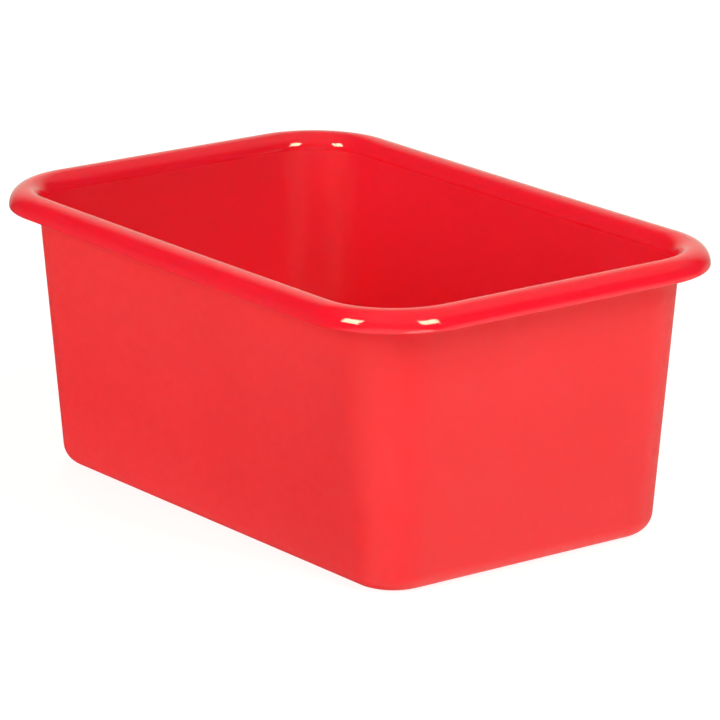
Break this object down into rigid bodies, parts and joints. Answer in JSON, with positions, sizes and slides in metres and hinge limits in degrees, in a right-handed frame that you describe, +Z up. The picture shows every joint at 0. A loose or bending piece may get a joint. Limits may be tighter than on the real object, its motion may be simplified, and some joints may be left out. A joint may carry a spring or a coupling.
{
  "type": "art supply box",
  "caption": "Open-topped rectangular tub, moulded in one piece, with walls that taper to the base, rounded corners and a turned-out rim that is hollow underneath.",
  "frame": {"origin": "centre of the footprint, on the surface that the box stands on", "axes": "+X along the length, +Y along the width, +Z up through the open mouth"},
  "size_m": [0.29, 0.197, 0.125],
  "materials": {
    "red_plastic": "injection-moulded red polypropylene, satin on the walls and glossier on the rim"
  },
  "bodies": {
    "root": {"moulded_tub": "red_plastic"}
  },
  "joints": []
}
